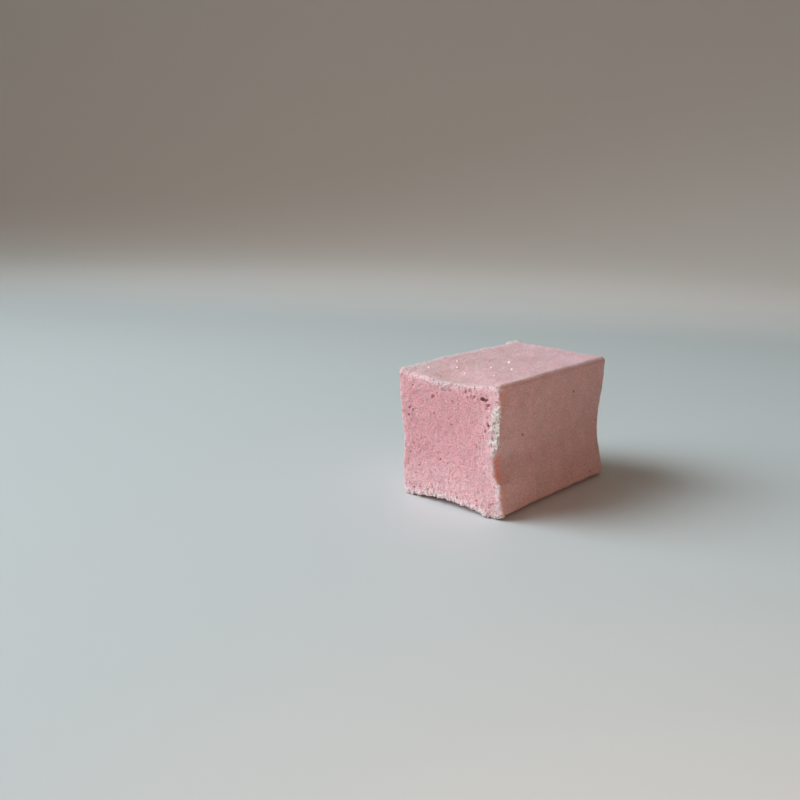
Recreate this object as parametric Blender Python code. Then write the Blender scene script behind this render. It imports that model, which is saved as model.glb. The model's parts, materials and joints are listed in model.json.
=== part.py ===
"""Half of a bar of pink fruit pastila, cut across and standing on its base.

Pastila is fruit puree and egg white whipped to a fine foam, set and dried. Its dry
skin holds its shape while the foam inside shrinks, so every face of the bar is a
little hollow and the long sides fold in along a crease.

Metres, +Z up. +X runs along the bar, from the cut face to the bar's own end, and
the origin is the middle of the base.
"""

import math
import random

import bmesh
import bpy
from mathutils import Euler, Matrix, Vector, noise

# The half bar, as its outer box
LENGTH = 0.0333
WIDTH = 0.0200
HEIGHT = 0.0220

# How far the form leaves that box
EDGE_RADIUS = 0.0008
SIDE_PINCH = 0.0016  # depth of the crease along the side at -Y, by the cut
SIDE_PINCH_LEFT = 0.8  # the share of that depth at the bar's own end
BACK_PINCH = 0.0006  # depth of the crease along the side at +Y
END_PINCH = 0.0005  # and round the bar's own end
CREASE_AT_CUT = 0.43  # height of the crease as a share of HEIGHT
CREASE_AT_END = 0.40
CREASE_SOFTNESS = 0.0006
FOLD_POWER_AT_CUT = 3.2  # the knife sharpened the fold at the cut
FOLD_POWER_ALONG = 1.2  # and further along it is a plain V
KNIFE_REACH = 0.0075  # how far along the bar the knife's marks fade
TOP_SAG = 0.00125  # where the knife pressed the top down, above the cut face
SAG_SKEW = 0.5  # the sag is this much deeper towards +Y
TOP_DISH = 0.0001  # the slight hollow along the rest of the top
BASE_ARCH = 0.0007  # where the knife drew the base up, below the cut face
ARCH_CUTOFF = 0.3  # the share of the arch left out, so that the rest of the base is flat
CUT_HOLLOW = 0.0006  # the cut face is this much hollow in plan
CUT_LEAN = 0.0013  # its foot lies this much behind its top edge
SIDE_FLARE = 0.0006  # the base is wider than the top, at -Y
BACK_TUCK = 0.0011  # and narrower than it at +Y, by the cut
END_FLARE = 0.0012

# Relief
SKIN_WAVE = 0.00010  # slow unevenness of the dry skin
SKIN_WAVE_SIZE = 0.0050
CRUMB_RELIEF = 0.00012  # roughness of the foam that the knife opened
CRUMB_RELIEF_SIZE = 0.0012
CRUMB_RELIEF_DEPTHS = (0.0002, 0.0007)  # it fades between these depths from the cut
RIM_RELIEF = 0.00022  # the skin's torn rim round the cut face
RIM_RELIEF_SIZE = 0.0015
RIM_WIDTH = 0.0012

# The grid of faces: tight at the edges, and wider apart along the bar
EDGE_STEPS = (0.00022, 0.00052, 0.00095)
FACE_STEP = 0.00095
BAR_STEP_GROWTH = 1.34
BAR_STEP_MOST = 0.0031

SEED = 7
LUMPINESS = (0.74, 1.12)  # how far each corner of a lump lies from its middle

PORE_COUNT = 20
PORE_RADII = (0.00026, 0.00046)
PORE_MARGIN = 0.0011  # from the face's own edges
PORE_GAP = 0.0012  # between the middles of two pores
PORE_CROWDING = 0.0020  # most pores lie within this of the margin
BUBBLE_SINK = 0.25  # a bubble's middle is this share of its radius below the face

# The large bubbles that show on the cut face: share of the width, share of the
# height, and radius
LARGE_BUBBLES = (
    (0.14, 0.885, 0.00062),
    (0.105, 0.835, 0.00048),
    (0.225, 0.925, 0.00050),
    (0.63, 0.840, 0.00048),
    (0.10, 0.600, 0.00040),
    (0.60, 0.270, 0.00040),
)

# Crumbs of dry skin along each rim of the cut face
CRUMB_COUNTS = {"side": 17, "top": 7, "base": 9, "back": 5}
CRUMB_RADII = (0.00034, 0.00062)
CRUMB_SINKS = (0.45, 0.75)  # as shares of a crumb's radius
CRUMB_INSET = 0.022  # of the face's width or height, in from the rim

# The lump of skin torn up at the far top corner at +Y: how far each of its crumbs
# lies from the corner along the bar and across it, and its radius
CORNER_LUMP = (
    (0.0004, 0.0007, 0.00050),
    (0.0009, 0.0005, 0.00070),
    (0.0017, 0.0004, 0.00064),
    (0.0024, 0.0004, 0.00046),
)
CORNER_SINK = 0.35
CORNER_STRETCH = (1.2, 0.8, 0.85)

PINK = (0.63, 0.33, 0.36, 1.0)


def mixed(a, b, share):
    return a + (b - a) * share


def smooth(low, high, value):
    """0 below low, 1 above high, and a smooth step between them."""
    t = min(1.0, max(0.0, (value - low) / (high - low)))
    return t * t * (3.0 - 2.0 * t)


def even_steps(start, stop, step):
    """Positions from start to stop, both left out, about a step apart."""
    count = max(1, round((stop - start) / step))
    return [mixed(start, stop, i / count) for i in range(1, count)]


def face_ticks(size):
    """Where the grid lines cross an edge of this size: close together at both ends."""
    inner = EDGE_STEPS[-1]
    middle = even_steps(inner, size - inner, FACE_STEP)
    return [*EDGE_STEPS, *middle, *[size - e for e in reversed(EDGE_STEPS)]]


def bar_ticks():
    """Grid lines along the bar, further apart as they leave the cut face."""
    ticks = list(EDGE_STEPS)
    step = EDGE_STEPS[-1] - EDGE_STEPS[-2]
    last = LENGTH - EDGE_STEPS[-1]
    while ticks[-1] + step < last:
        step = min(BAR_STEP_MOST, step * BAR_STEP_GROWTH)
        ticks.append(ticks[-1] + step)
    ticks = [t for t in ticks if t < last - 0.5 * step]
    return [*ticks, *[LENGTH - e for e in reversed(EDGE_STEPS)]]


def gridded_box():
    """A box of the bar's size whose faces carry the grid, as a bmesh."""
    bm = bmesh.new()
    bmesh.ops.create_cube(bm, size=1.0)
    size = Vector((LENGTH, WIDTH, HEIGHT))
    bmesh.ops.scale(bm, vec=size, verts=bm.verts)
    bmesh.ops.translate(bm, vec=(0.0, 0.0, HEIGHT / 2), verts=bm.verts)
    low = Vector((-LENGTH / 2, -WIDTH / 2, 0.0))
    for axis, ticks in enumerate((bar_ticks(), face_ticks(WIDTH), face_ticks(HEIGHT))):
        normal = Vector((0.0, 0.0, 0.0))
        normal[axis] = 1.0
        for tick in ticks:
            bmesh.ops.bisect_plane(
                bm,
                geom=[*bm.verts, *bm.edges, *bm.faces],
                dist=1e-7,
                plane_co=low + normal * tick,
                plane_no=normal,
            )
    return bm


def rounded(point):
    """A point of the box moved onto the same box with round edges."""
    middle = Vector((0.0, 0.0, HEIGHT / 2))
    half = Vector((LENGTH, WIDTH, HEIGHT)) / 2 - Vector((EDGE_RADIUS,) * 3)
    offset = point - middle
    inner = Vector(max(-h, min(h, o)) for o, h in zip(offset, half))
    out = offset - inner
    return middle + inner + out.normalized() * EDGE_RADIUS


def crease(up, along):
    """How far the fold has closed at this height: 1 at the crease, 0 at top and base."""
    height = mixed(CREASE_AT_CUT, CREASE_AT_END, along)
    rise = (up - height) * HEIGHT
    span = (1.0 - height) * HEIGHT if rise > 0.0 else height * HEIGHT
    near = math.hypot(rise, CREASE_SOFTNESS) - CREASE_SOFTNESS
    power = mixed(FOLD_POWER_AT_CUT, FOLD_POWER_ALONG, smooth(0.0, 0.6, along))
    return max(0.0, 1.0 - near / span) ** power


def formed(point):
    """The round-edged box drawn in to the shape of the dried, cut bar."""
    along = point.x / LENGTH + 0.5
    across = 2.0 * point.y / WIDTH
    up = point.z / HEIGHT
    knife = math.exp(-((along * LENGTH / KNIFE_REACH) ** 2))
    bow = 1.0 - across * across
    fold = crease(up, along)
    down = 1.0 - up

    if across < 0.0:
        inward = SIDE_PINCH * mixed(1.0, SIDE_PINCH_LEFT, along) * fold - SIDE_FLARE * down
    else:
        inward = BACK_PINCH * fold + BACK_TUCK * mixed(1.0, 0.2, along) * down
    y = point.y * (1.0 - 2.0 * inward / WIDTH)

    sag = TOP_SAG * (1.0 - abs(across) ** 3) * (1.0 + SAG_SKEW * across)
    top = HEIGHT - sag * knife - TOP_DISH * bow
    base = max(0.0, BASE_ARCH * ((1.0 + ARCH_CUTOFF) * bow * knife - ARCH_CUTOFF))
    z = mixed(base, top, up)

    hollow = CUT_HOLLOW * bow * math.sin(math.pi * min(1.0, max(0.0, up)))
    from_cut = hollow + CUT_LEAN * down
    from_end = END_PINCH * fold - END_FLARE * down * smooth(0.7, 1.0, along)
    x = point.x + from_cut * (1.0 - along) ** 2 - from_end * along**3
    return Vector((x, y, z))


def on_cut(point):
    """1 on the cut face and 0 on the skin, from a point of the plain box."""
    return 1.0 - smooth(*CRUMB_RELIEF_DEPTHS, point.x + LENGTH / 2)


def rim_share(point):
    """1 at the torn rim round the cut face, fading over RIM_WIDTH each way."""
    to_side = WIDTH / 2 - abs(point.y)
    to_top_or_base = min(HEIGHT - point.z, point.z)
    depth = point.x + LENGTH / 2
    inward = min(to_side, to_top_or_base)
    reach = math.hypot(inward, depth)
    return 1.0 - smooth(0.3 * RIM_WIDTH, RIM_WIDTH, reach)


def relief(point):
    """How far the surface stands out of the smooth form at a point of the plain box."""
    skin = noise.noise(point / SKIN_WAVE_SIZE) * SKIN_WAVE
    crumb = noise.fractal(point / CRUMB_RELIEF_SIZE, 1.0, 2.0, 2) * CRUMB_RELIEF
    rim = noise.noise(point / RIM_RELIEF_SIZE + Vector((5.0, 1.0, 3.0))) * RIM_RELIEF
    return skin + crumb * on_cut(point) + rim * rim_share(point)


def bar_mesh():
    """The half bar without its crumbs and bubbles."""
    bm = gridded_box()
    plain = [v.co.copy() for v in bm.verts]
    for vert in bm.verts:
        vert.co = formed(rounded(vert.co))
    bm.normal_update()
    normals = [v.normal.copy() for v in bm.verts]
    for vert, start, normal in zip(bm.verts, plain, normals):
        resting = vert.co.z < 1e-6
        vert.co += normal * relief(start)
        vert.co.z = 0.0 if resting else max(0.0, vert.co.z)
    mesh = bpy.data.meshes.new("pastila")
    bm.to_mesh(mesh)
    bm.free()
    return mesh


def cut_point(share_across, share_up, depth=0.0):
    """A point on the finished cut face, from its share of the width and height."""
    y = (share_across - 0.5) * WIDTH
    plain = Vector((-LENGTH / 2, y, share_up * HEIGHT))
    return formed(plain) + Vector((depth, 0.0, 0.0))


def add_lump(name, place, radius, stretch, rng, collection):
    """A small uneven ball, as a bubble to cut away or a crumb to join on."""
    bpy.ops.mesh.primitive_ico_sphere_add(subdivisions=1, radius=radius)
    lump = bpy.context.object
    lump.name = name
    for vert in lump.data.vertices:
        vert.co *= rng.uniform(*LUMPINESS)
    turn = Euler((rng.uniform(0.0, math.tau) for _ in range(3)))
    lump.data.transform(turn.to_matrix().to_4x4())
    lump.data.transform(Matrix.Diagonal((*stretch, 1.0)))
    lump.location = place
    for owner in list(lump.users_collection):
        owner.objects.unlink(lump)
    collection.objects.link(lump)


def bubble_places(rng):
    """The large bubbles, then small ones drawn at random, most of them near the rim."""
    places = list(LARGE_BUBBLES)
    tries = 0
    while len(places) < len(LARGE_BUBBLES) + PORE_COUNT and tries < 4000:
        tries += 1
        across, up = rng.random(), rng.random()
        edge = min(across * WIDTH, (1 - across) * WIDTH, up * HEIGHT, (1 - up) * HEIGHT)
        wanted = 0.25 + 0.75 * math.exp(-(((edge - PORE_MARGIN) / PORE_CROWDING) ** 2))
        apart = all(
            math.hypot((across - a) * WIDTH, (up - u) * HEIGHT) > PORE_GAP + r
            for a, u, r in places
        )
        if edge > PORE_MARGIN and apart and rng.random() < wanted:
            places.append((across, up, rng.uniform(*PORE_RADII)))
    return places


def add_bubbles(collection, rng):
    for number, (across, up, radius) in enumerate(bubble_places(rng)):
        stretch = (1.0, rng.uniform(0.8, 1.3), rng.uniform(0.7, 1.0))
        place = cut_point(across, up, depth=BUBBLE_SINK * radius)
        add_lump(f"bubble_{number}", place, radius, stretch, rng, collection)


def rim_place(rim, share):
    """A point on one of the cut face's four rims, as shares of the width and height."""
    return {
        "side": (CRUMB_INSET, share),
        "back": (1.0 - CRUMB_INSET, share),
        "top": (share, 1.0 - CRUMB_INSET),
        "base": (share, 2.0 * CRUMB_INSET),
    }[rim]


def add_crumbs(collection, rng):
    """Crumbs of dry skin along the torn rim, most of them where it meets the side."""
    for rim, count in CRUMB_COUNTS.items():
        for number in range(count):
            share = (number + 0.5 + rng.uniform(-0.35, 0.35)) / count
            across, up = rim_place(rim, mixed(0.05, 0.95, share))
            radius = rng.uniform(*CRUMB_RADII)
            stretch = (rng.uniform(0.7, 1.0), rng.uniform(0.7, 1.1), rng.uniform(0.8, 1.3))
            place = cut_point(across, up, depth=rng.uniform(*CRUMB_SINKS) * radius)
            add_lump(f"crumb_{rim}_{number}", place, radius, stretch, rng, collection)


def add_corner_lump(collection, rng):
    for number, (from_end, from_back, radius) in enumerate(CORNER_LUMP):
        corner = Vector((LENGTH / 2 - from_end, WIDTH / 2 - from_back, HEIGHT))
        place = formed(corner) - Vector((0.0, 0.0, CORNER_SINK * radius))
        add_lump(f"corner_{number}", place, radius, CORNER_STRETCH, rng, collection)


def apply_boolean(obj, collection, operation):
    """Joins or cuts obj with all of a collection's objects, then removes them."""
    modifier = obj.modifiers.new(operation.lower(), "BOOLEAN")
    modifier.operation = operation
    modifier.operand_type = "COLLECTION"
    modifier.collection = collection
    modifier.solver = "EXACT"
    modifier.use_self = operation == "UNION"
    bpy.context.view_layer.update()
    bpy.context.view_layer.objects.active = obj
    bpy.ops.object.modifier_apply(modifier=modifier.name)
    for helper in list(collection.objects):
        bpy.data.objects.remove(helper)
    bpy.data.collections.remove(collection)


def new_collection(name):
    collection = bpy.data.collections.new(name)
    bpy.context.scene.collection.children.link(collection)
    return collection


def pastila_material():
    material = bpy.data.materials.new("pastila_pink")
    material.use_nodes = True
    shader = material.node_tree.nodes["Principled BSDF"]
    shader.inputs["Base Color"].default_value = PINK
    shader.inputs["Roughness"].default_value = 0.85
    shader.inputs["Metallic"].default_value = 0.0
    return material


def stand_on_origin(mesh):
    """Moves the mesh so that the middle of its box's base is the origin."""
    spots = [v.co for v in mesh.vertices]
    low = Vector(min(s[axis] for s in spots) for axis in range(3))
    high = Vector(max(s[axis] for s in spots) for axis in range(3))
    middle = (low + high) / 2
    mesh.transform(Matrix.Translation((-middle.x, -middle.y, -low.z)))


def main():
    for old in list(bpy.data.objects):
        bpy.data.objects.remove(old)

    pieces = new_collection("pastila_half_bar")
    block = bpy.data.objects.new("pastila", bar_mesh())
    pieces.objects.link(block)
    block.data.materials.append(pastila_material())

    rng = random.Random(SEED)
    bubbles = new_collection("bubbles")
    add_bubbles(bubbles, rng)
    apply_boolean(block, bubbles, "DIFFERENCE")
    crumbs = new_collection("crumbs")
    add_crumbs(crumbs, rng)
    add_corner_lump(crumbs, rng)
    apply_boolean(block, crumbs, "UNION")

    stand_on_origin(block.data)
    block.data.shade_smooth()
    block.data.set_sharp_from_angle(angle=math.radians(40))
    print(f"pastila: {len(block.data.vertices)} points, {len(block.data.polygons)} faces")


main()
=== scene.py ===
# %% [markdown]
# # Half a bar of pink pastila
#
# Pastila is fruit puree and egg white, whipped to a fine foam, poured, set and dried. The
# dry skin keeps its shape while the foam inside shrinks a little, so every face of the bar
# is slightly hollow. This bar was cut across with a knife, and one half stands on its base.
#
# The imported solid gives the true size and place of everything. The lesson builds the looks
# round it: the opened foam with its bubbles, the torn pale rim, crumbs, and sugar grains.
# Everything is in metres, +X runs along the bar away from the cut, and +Z is up.

import json
import math
import random

import bmesh
import bpy
from mathutils import Euler, Matrix, Vector
from mathutils.kdtree import KDTree

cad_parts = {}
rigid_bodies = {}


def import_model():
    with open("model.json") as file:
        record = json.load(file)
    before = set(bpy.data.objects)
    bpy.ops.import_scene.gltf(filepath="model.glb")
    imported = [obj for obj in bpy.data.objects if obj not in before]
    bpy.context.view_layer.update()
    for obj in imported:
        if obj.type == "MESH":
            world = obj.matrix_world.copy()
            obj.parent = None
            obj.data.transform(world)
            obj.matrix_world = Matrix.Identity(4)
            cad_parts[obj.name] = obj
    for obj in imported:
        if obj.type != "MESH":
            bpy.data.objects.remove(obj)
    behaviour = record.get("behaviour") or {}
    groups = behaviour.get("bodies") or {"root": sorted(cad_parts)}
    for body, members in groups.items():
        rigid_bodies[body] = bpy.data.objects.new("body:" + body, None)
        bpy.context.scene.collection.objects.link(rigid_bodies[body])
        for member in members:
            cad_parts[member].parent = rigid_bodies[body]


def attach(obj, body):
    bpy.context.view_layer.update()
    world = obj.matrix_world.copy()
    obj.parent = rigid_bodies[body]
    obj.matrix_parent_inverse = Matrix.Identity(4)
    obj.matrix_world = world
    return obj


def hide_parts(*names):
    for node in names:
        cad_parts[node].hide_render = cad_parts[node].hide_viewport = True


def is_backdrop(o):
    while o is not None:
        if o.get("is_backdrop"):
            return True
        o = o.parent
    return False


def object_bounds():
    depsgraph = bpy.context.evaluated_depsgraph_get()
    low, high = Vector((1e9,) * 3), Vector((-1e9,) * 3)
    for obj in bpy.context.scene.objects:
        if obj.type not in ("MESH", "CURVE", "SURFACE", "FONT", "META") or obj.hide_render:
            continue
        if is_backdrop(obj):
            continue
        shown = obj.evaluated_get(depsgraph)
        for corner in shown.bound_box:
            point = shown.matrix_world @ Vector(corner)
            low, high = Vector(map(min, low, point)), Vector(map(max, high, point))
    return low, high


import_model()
cad_low, cad_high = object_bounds()


def in_mm(lengths):
    """Lengths in metres as rounded millimetres, to print."""
    return [round(1000 * length, 2) for length in lengths]


print("solid, in mm:", in_mm(cad_high - cad_low))

# %% [markdown]
# ## The camera
#
# A photograph's viewpoint can be guessed by eye, or solved from the object's own edges.
# Here it was solved: the cut's four corners and the two long edges fix where the lens stood,
# a hand's length away and a little above the bar. The lens is slightly longer than a phone's.

# %% Stand the camera where the photograph was taken
CAMERA_PLACE = Vector((-0.12885, -0.08523, 0.05261))
CAMERA_TURN = [math.radians(angle) for angle in (76.05, -1.66, -49.23)]

bpy.ops.object.camera_add(location=CAMERA_PLACE, rotation=CAMERA_TURN)
camera = bpy.context.object
camera.data.sensor_width = 36.0
camera.data.lens = 41.44
camera.data.clip_start = 0.005
bpy.context.scene.camera = camera
print("camera stands", round(1000 * camera.location.length), "mm from the bar")

# %% [markdown]
# ## The floor
#
# A flat floor ends in a hard horizon. Photographers curve the paper up behind the object
# instead. This floor curves up all round, like a wide bowl, so that no view meets its end.
# It starts as a filled circle, and its rim is extruded up along a quarter circle.

# %% Make the floor, a wide pale bowl
FLOOR_RADIUS = 0.40
FLOOR_CURVE = 0.60
FLOOR_CURVE_STEPS = 16
FLOOR_BELOW = 0.00003  # a hair under the base, so that the two faces don't fight


def start_clean():
    """Goes to object mode and leaves nothing selected."""
    if bpy.context.mode != "OBJECT":
        bpy.ops.object.mode_set(mode="OBJECT")
    bpy.ops.object.select_all(action="DESELECT")


start_clean()
bpy.ops.mesh.primitive_circle_add(
    vertices=96, radius=FLOOR_RADIUS, fill_type="NGON", location=(0.0, 0.0, -FLOOR_BELOW)
)
floor = bpy.context.object
floor.name = "floor"
bpy.ops.object.transform_apply(location=True)
bpy.ops.object.mode_set(mode="EDIT")
bpy.ops.mesh.select_mode(type="EDGE")
bpy.ops.mesh.select_all(action="SELECT")
radius = FLOOR_RADIUS
height = 0.0
for step in range(1, FLOOR_CURVE_STEPS + 1):
    angle = math.pi / 2 * step / FLOOR_CURVE_STEPS
    wider = FLOOR_RADIUS + FLOOR_CURVE * math.sin(angle)
    higher = FLOOR_CURVE * (1.0 - math.cos(angle))
    bpy.ops.mesh.extrude_edges_move(TRANSFORM_OT_translate={"value": (0, 0, higher - height)})
    bpy.ops.transform.resize(value=(wider / radius, wider / radius, 1.0))
    radius = wider
    height = higher
bpy.ops.mesh.extrude_edges_move(TRANSFORM_OT_translate={"value": (0, 0, FLOOR_CURVE)})
bpy.ops.object.mode_set(mode="OBJECT")
bpy.ops.object.shade_smooth()
floor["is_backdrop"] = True
print("floor has", len(floor.data.polygons), "faces")

# %% [markdown]
# ## The light
#
# The sweet was lit by one big window at the left of the camera, a little behind the bar. So
# the cut face and the top are bright, the long side lies in shade, and the warm room fills
# that shade. One large area light is the window. A weak warm one in front of the long side
# and a warm world are the room. A last one lights the floor's curve behind the bar, so that
# the backdrop isn't dull.

# %% Hang the lights
TOWARDS_CAMERA = Vector((CAMERA_PLACE.x, CAMERA_PLACE.y, 0.0)).normalized()
CAMERA_RIGHT = Vector((-TOWARDS_CAMERA.y, TOWARDS_CAMERA.x, 0.0))
LIGHT_AIM = Vector((0.0, 0.0, 0.010))


def from_bar(turn, rise):
    """The direction turn degrees to the right of the camera and rise degrees up."""
    turn, rise = math.radians(turn), math.radians(rise)
    level = TOWARDS_CAMERA * math.cos(turn) + CAMERA_RIGHT * math.sin(turn)
    return level * math.cos(rise) + Vector((0.0, 0.0, math.sin(rise)))


def hang_light(name, place, back, size, power, colour):
    """Hangs a square light at a place. back is the direction that its dark side faces."""
    bpy.ops.object.light_add(type="AREA", location=place)
    light = bpy.context.object
    light.name = name
    light.rotation_euler = back.to_track_quat("Z", "Y").to_euler()
    light.data.shape = "SQUARE"
    light.data.size = size
    light.data.energy = power
    light.data.color = colour
    light.visible_camera = False
    return light


window_side = from_bar(-80.0, 36.0)
window = hang_light("window", LIGHT_AIM + window_side * 0.60, window_side,
    size=0.50, power=1.10, colour=(0.90, 1.0, 1.04))  # fmt: skip
window.data.spread = math.radians(80.0)  # so that it lights the bar, and little of the room
room_side = from_bar(12.0, 8.0)
hang_light("warm_fill", LIGHT_AIM + room_side * 0.12, room_side,
    size=0.09, power=0.0235, colour=(1.0, 0.50, 0.28))  # fmt: skip
wash_place = Vector((0.0, 0.0, 0.40)) - TOWARDS_CAMERA * 0.20
wash_back = TOWARDS_CAMERA + Vector((0.0, 0.0, 0.10))
hang_light("backdrop_wash", wash_place, wash_back, size=0.5, power=0.92, colour=(1.0, 0.75, 0.63))
world = bpy.context.scene.world or bpy.data.worlds.new("room")
bpy.context.scene.world = world
world.use_nodes = True
background = world.node_tree.nodes["Background"]
background.inputs["Color"].default_value = (1.0, 0.76, 0.56, 1.0)
background.inputs["Strength"].default_value = 0.17
bpy.context.scene.view_settings.view_transform = "Standard"

# %% [markdown]
# ## Grain that several finishes share
#
# Foam, skin and crumbs are all a fine dry grain, only coarser or finer. A shader node group
# holds that grain once, with a size, and each material places it with its own values. It
# gives smooth noise, which reads as soft unevenness, and cell noise, which reads as
# bubbles. A few cells picked by chance make specks of dust.

# %% Build the grain group


def feed(node, inputs):
    """Gives a node its inputs: numbers, colours, or (node, output) pairs to link."""
    for name, value in inputs.items():
        if isinstance(value, tuple) and isinstance(value[0], bpy.types.Node):
            source, output = value
            node.id_data.links.new(source.outputs[output], node.inputs[name])
        else:
            node.inputs[name].default_value = value
    return node


def new_group(name, inputs, outputs):
    """A shader node group with named number inputs and outputs, and its two end nodes."""
    tree = bpy.data.node_groups.new(name, "ShaderNodeTree")
    for title, default in inputs.items():
        socket = tree.interface.new_socket(title, in_out="INPUT", socket_type="NodeSocketFloat")
        socket.default_value = default
    for title in outputs:
        tree.interface.new_socket(title, in_out="OUTPUT", socket_type="NodeSocketFloat")
    return tree, tree.nodes.new("NodeGroupInput"), tree.nodes.new("NodeGroupOutput")


def calculate(tree, operation, *values, clamp=False):
    """A Math node of numbers or pairs. It gives back a pair, so that calls can be chained."""
    node = tree.nodes.new("ShaderNodeMath")
    node.operation = operation
    node.use_clamp = clamp
    return feed(node, dict(enumerate(values))), 0


def rerange(tree, value, low, high, new_low, new_high):
    """A Map Range node from one range of numbers to another, as a pair."""
    node = tree.nodes.new("ShaderNodeMapRange")
    ranges = {"From Min": low, "From Max": high, "To Min": new_low, "To Max": new_high}
    return feed(node, {"Value": value, **ranges}), "Result"


def build_dry_grain():
    sizes = {"Fineness": 2500.0, "Cells": 1800.0, "Speck Share": 0.2}
    tree, start, end = new_group("dry_grain", sizes, ["Grain", "Pits", "Specks"])
    place = tree.nodes.new("ShaderNodeTexCoord")
    soft = tree.nodes.new("ShaderNodeTexNoise")
    feed(soft, {"Vector": (place, "Object"), "Scale": (start, "Fineness")})
    feed(soft, {"Detail": 3.0, "Roughness": 0.62})
    cells = tree.nodes.new("ShaderNodeTexVoronoi")
    feed(cells, {"Vector": (place, "Object"), "Scale": (start, "Cells")})
    pits = rerange(tree, (cells, "Distance"), 0.10, 0.42, 1.0, 0.0)
    # Each cell has a colour of its own, drawn by chance. One channel picks the cells that
    # hold a speck, and another makes some pits deep and others hardly there.
    draw = feed(tree.nodes.new("ShaderNodeSeparateColor"), {"Color": (cells, "Color")})
    picked = calculate(tree, "LESS_THAN", (draw, "Red"), (start, "Speck Share"))
    specks = calculate(tree, "MULTIPLY", picked, pits)
    deep = calculate(tree, "POWER", (draw, "Green"), 2.0)
    uneven = calculate(tree, "MULTIPLY", deep, pits)
    feed(end, {"Grain": (soft, "Fac"), "Pits": uneven, "Specks": specks})
    return tree


dry_grain = build_dry_grain()
print("grain group has", len(dry_grain.nodes), "nodes")

# %% [markdown]
# ## The half bar
#
# The bar began as a plain box that was poured, cut and dried, and the model goes the same
# way. A cube is brought to the bar's size, its edges are rounded, and its faces are split
# into a fine grid, because what comes later needs points to move. The grid is tightest by
# the cut, where the surface is roughest. Splitting only the edges that run one way gives
# clean rows of four-sided faces.

# %% Start the bar as a box with round edges
LENGTH = 0.0333
WIDTH = 0.0200
HEIGHT = 0.0220
BOX_MIDDLE = Vector((-0.00053, 0.00031, HEIGHT / 2))
EDGE_RADIUS = 0.0010
CUT_X = BOX_MIDDLE.x - LENGTH / 2

start_clean()
bpy.ops.mesh.primitive_cube_add(size=1.0, location=BOX_MIDDLE)
bar = bpy.context.object
bar.name = "pastila_half"
bar.scale = (LENGTH, WIDTH, HEIGHT)
bpy.ops.object.transform_apply(location=True, rotation=True, scale=True)
bpy.ops.object.mode_set(mode="EDIT")
bpy.ops.mesh.select_all(action="SELECT")
bpy.ops.mesh.bevel(offset=EDGE_RADIUS, segments=7, profile=0.5, affect="EDGES")
print("rounded box has", len(bmesh.from_edit_mesh(bar.data).faces), "faces")

# %% Split its faces into a grid
FACE_STEP = 0.00018  # across the cut face
BAR_STEPS = ((0.0028, 0.00018), (0.0090, 0.00034), (LENGTH - EDGE_RADIUS, 0.00060))


def select_edges(wanted):
    """Selects the edges of the mesh in edit mode whose two ends pass the test."""
    bpy.ops.mesh.select_mode(type="EDGE")
    bpy.ops.mesh.select_all(action="DESELECT")
    mesh = bmesh.from_edit_mesh(bar.data)
    for edge in mesh.edges:
        edge.select_set(wanted(edge.verts[0].co, edge.verts[1].co))
    bmesh.update_edit_mesh(bar.data)


def split_along(axis, low, high, step):
    """Splits the straight edges that run along an axis from low to high into steps."""

    def spans(a, b):
        near, far = sorted((a[axis], b[axis]))
        return abs(near - low) < 1e-5 and abs(far - high) < 1e-5

    select_edges(spans)
    bpy.ops.mesh.subdivide(number_cuts=max(1, round((high - low) / step) - 1))


start = EDGE_RADIUS
for stop, step in BAR_STEPS:
    if stop < LENGTH - EDGE_RADIUS:
        bpy.ops.mesh.select_all(action="SELECT")
        bpy.ops.mesh.bisect(plane_co=(CUT_X + stop, 0.0, 0.0), plane_no=(1.0, 0.0, 0.0))
    split_along(0, CUT_X + start, CUT_X + stop, step)
    start = stop
for axis, size in ((1, WIDTH), (2, HEIGHT)):
    reach = size / 2 - EDGE_RADIUS
    split_along(axis, BOX_MIDDLE[axis] - reach, BOX_MIDDLE[axis] + reach, FACE_STEP)
bpy.ops.object.mode_set(mode="OBJECT")
print("gridded box has", len(bar.data.polygons), "faces")

# %% [markdown]
# ## Bubbles
#
# Whipping leaves bubbles of every size. The knife opened those that lay in its way, most of
# them near the rim, where the foam was squeezed, and a few burst through the skin as pores.
# They are cut out now, while the faces are still flat: each bubble is an uneven ball, and
# one Boolean takes them all out. The large ones are placed one by one as they lie in this
# bar. The rest are drawn by chance from a fixed seed, so that every run gives the same bar.

# %% Place the bubbles
chance = random.Random(11)

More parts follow.
